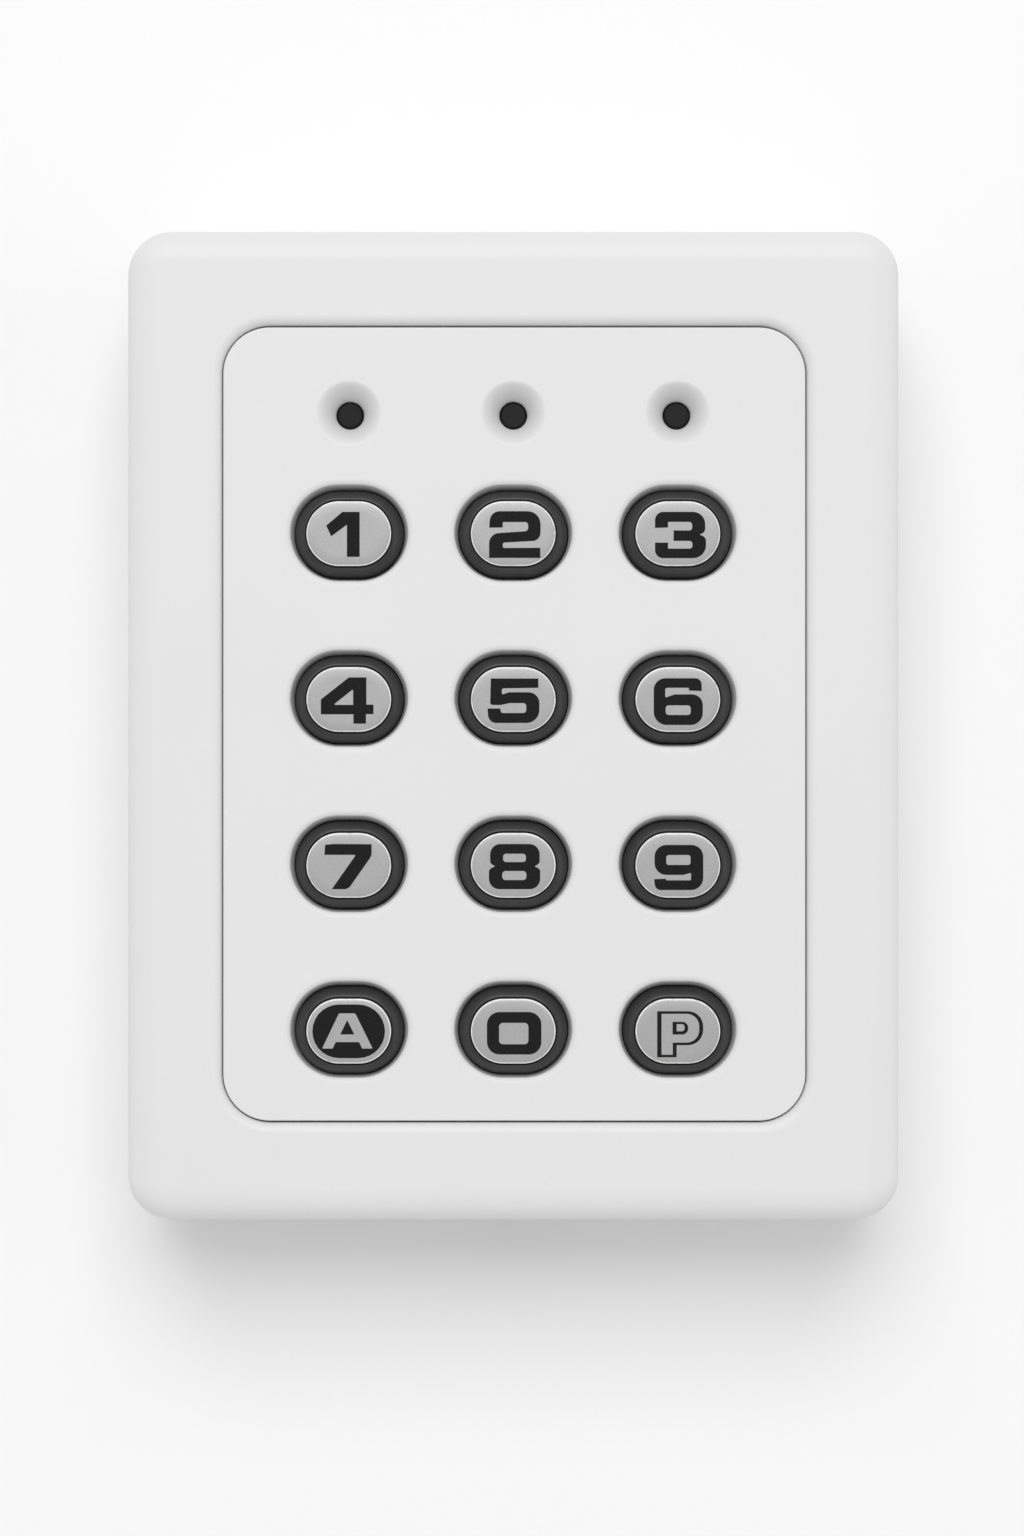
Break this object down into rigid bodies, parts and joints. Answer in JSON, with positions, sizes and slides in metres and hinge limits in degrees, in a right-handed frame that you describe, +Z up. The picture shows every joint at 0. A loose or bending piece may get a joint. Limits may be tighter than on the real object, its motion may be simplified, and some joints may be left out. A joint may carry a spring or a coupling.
{
  "type": "alarm keypad panel",
  "caption": "White wall-mounted alarm keypad: rounded housing round a panel with a grid of sprung oval keys below a row of status lights.",
  "frame": {"origin": "centre of the flat back face that lies on the wall", "axes": "+Z up, -Y out of the front towards the user, +X to the user's right"},
  "size_m": [0.09, 0.0248, 0.1154],
  "materials": {
    "housing_white": "moulded ABS, fine spark-eroded texture",
    "panel_white": "moulded ABS, fine texture",
    "rear_white": "moulded ABS, plain",
    "key_black": "moulded silicone, matt",
    "key_silver": "silver paint, satin, with a printed legend",
    "lens_smoked": "smoked epoxy lens",
    "mat_silicone": "translucent grey silicone",
    "board_green": "solder mask on glass-epoxy board",
    "zinc_steel": "zinc plated",
    "black_moulding": "black moulded epoxy or nylon",
    "terminal_green": "green nylon",
    "can_aluminium": "drawn can, satin",
    "plunger_white": "natural acetal"
  },
  "bodies": {
    "housing": {"bezel_frame": "housing_white", "rear_case": "rear_white", "key_panel": "panel_white", "contact_mat": "mat_silicone", "circuit_board": "board_green", "case_screw": "zinc_steel", "board_screw_1": "zinc_steel", "board_screw_2": "zinc_steel", "board_screw_3": "zinc_steel", "board_screw_4": "zinc_steel", "status_led_left": "lens_smoked", "led_spacer_left": "black_moulding", "status_led_middle": "lens_smoked", "led_spacer_middle": "black_moulding", "status_led_right": "lens_smoked", "led_spacer_right": "black_moulding", "tamper_switch": "black_moulding", "tamper_spring": "zinc_steel", "microcontroller": "black_moulding", "voltage_regulator": "black_moulding", "pin_header": "black_moulding", "buzzer": "black_moulding", "capacitor": "can_aluminium", "terminal_block": "terminal_green"},
    "key_1": {"key_1_body": "key_black", "key_1_cap": "key_silver"},
    "key_2": {"key_2_body": "key_black", "key_2_cap": "key_silver"},
    "key_3": {"key_3_body": "key_black", "key_3_cap": "key_silver"},
    "key_4": {"key_4_body": "key_black", "key_4_cap": "key_silver"},
    "key_5": {"key_5_body": "key_black", "key_5_cap": "key_silver"},
    "key_6": {"key_6_body": "key_black", "key_6_cap": "key_silver"},
    "key_7": {"key_7_body": "key_black", "key_7_cap": "key_silver"},
    "key_8": {"key_8_body": "key_black", "key_8_cap": "key_silver"},
    "key_9": {"key_9_body": "key_black", "key_9_cap": "key_silver"},
    "key_a": {"key_a_body": "key_black", "key_a_cap": "key_silver"},
    "key_0": {"key_0_body": "key_black", "key_0_cap": "key_silver"},
    "key_p": {"key_p_body": "key_black", "key_p_cap": "key_silver"},
    "tamper": {"tamper_plunger": "plunger_white"}
  },
  "joints": [
    {"name": "key_1_press", "type": "slide", "parent": "housing", "child": "key_1", "axis": [0, 1, 0], "range_m": [0, 0.0012], "stiffness_N_per_m": 600, "springref_m": -0.0008, "deforming": ["contact_mat"]},
    {"name": "key_2_press", "type": "slide", "parent": "housing", "child": "key_2", "axis": [0, 1, 0], "range_m": [0, 0.0012], "stiffness_N_per_m": 600, "springref_m": -0.0008, "deforming": ["contact_mat"]},
    {"name": "key_3_press", "type": "slide", "parent": "housing", "child": "key_3", "axis": [0, 1, 0], "range_m": [0, 0.0012], "stiffness_N_per_m": 600, "springref_m": -0.0008, "deforming": ["contact_mat"]},
    {"name": "key_4_press", "type": "slide", "parent": "housing", "child": "key_4", "axis": [0, 1, 0], "range_m": [0, 0.0012], "stiffness_N_per_m": 600, "springref_m": -0.0008, "deforming": ["contact_mat"]},
    {"name": "key_5_press", "type": "slide", "parent": "housing", "child": "key_5", "axis": [0, 1, 0], "range_m": [0, 0.0012], "stiffness_N_per_m": 600, "springref_m": -0.0008, "deforming": ["contact_mat"]},
    {"name": "key_6_press", "type": "slide", "parent": "housing", "child": "key_6", "axis": [0, 1, 0], "range_m": [0, 0.0012], "stiffness_N_per_m": 600, "springref_m": -0.0008, "deforming": ["contact_mat"]},
    {"name": "key_7_press", "type": "slide", "parent": "housing", "child": "key_7", "axis": [0, 1, 0], "range_m": [0, 0.0012], "stiffness_N_per_m": 600, "springref_m": -0.0008, "deforming": ["contact_mat"]},
    {"name": "key_8_press", "type": "slide", "parent": "housing", "child": "key_8", "axis": [0, 1, 0], "range_m": [0, 0.0012], "stiffness_N_per_m": 600, "springref_m": -0.0008, "deforming": ["contact_mat"]},
    {"name": "key_9_press", "type": "slide", "parent": "housing", "child": "key_9", "axis": [0, 1, 0], "range_m": [0, 0.0012], "stiffness_N_per_m": 600, "springref_m": -0.0008, "deforming": ["contact_mat"]},
    {"name": "key_a_press", "type": "slide", "parent": "housing", "child": "key_a", "axis": [0, 1, 0], "range_m": [0, 0.0012], "stiffness_N_per_m": 600, "springref_m": -0.0008, "deforming": ["contact_mat"]},
    {"name": "key_0_press", "type": "slide", "parent": "housing", "child": "key_0", "axis": [0, 1, 0], "range_m": [0, 0.0012], "stiffness_N_per_m": 600, "springref_m": -0.0008, "deforming": ["contact_mat"]},
    {"name": "key_p_press", "type": "slide", "parent": "housing", "child": "key_p", "axis": [0, 1, 0], "range_m": [0, 0.0012], "stiffness_N_per_m": 600, "springref_m": -0.0008, "deforming": ["contact_mat"]},
    {"name": "tamper_press", "type": "slide", "parent": "housing", "child": "tamper", "axis": [0, -1, 0], "range_m": [0, 0.0015], "stiffness_N_per_m": 300, "springref_m": -0.001, "deforming": ["tamper_spring"]}
  ]
}
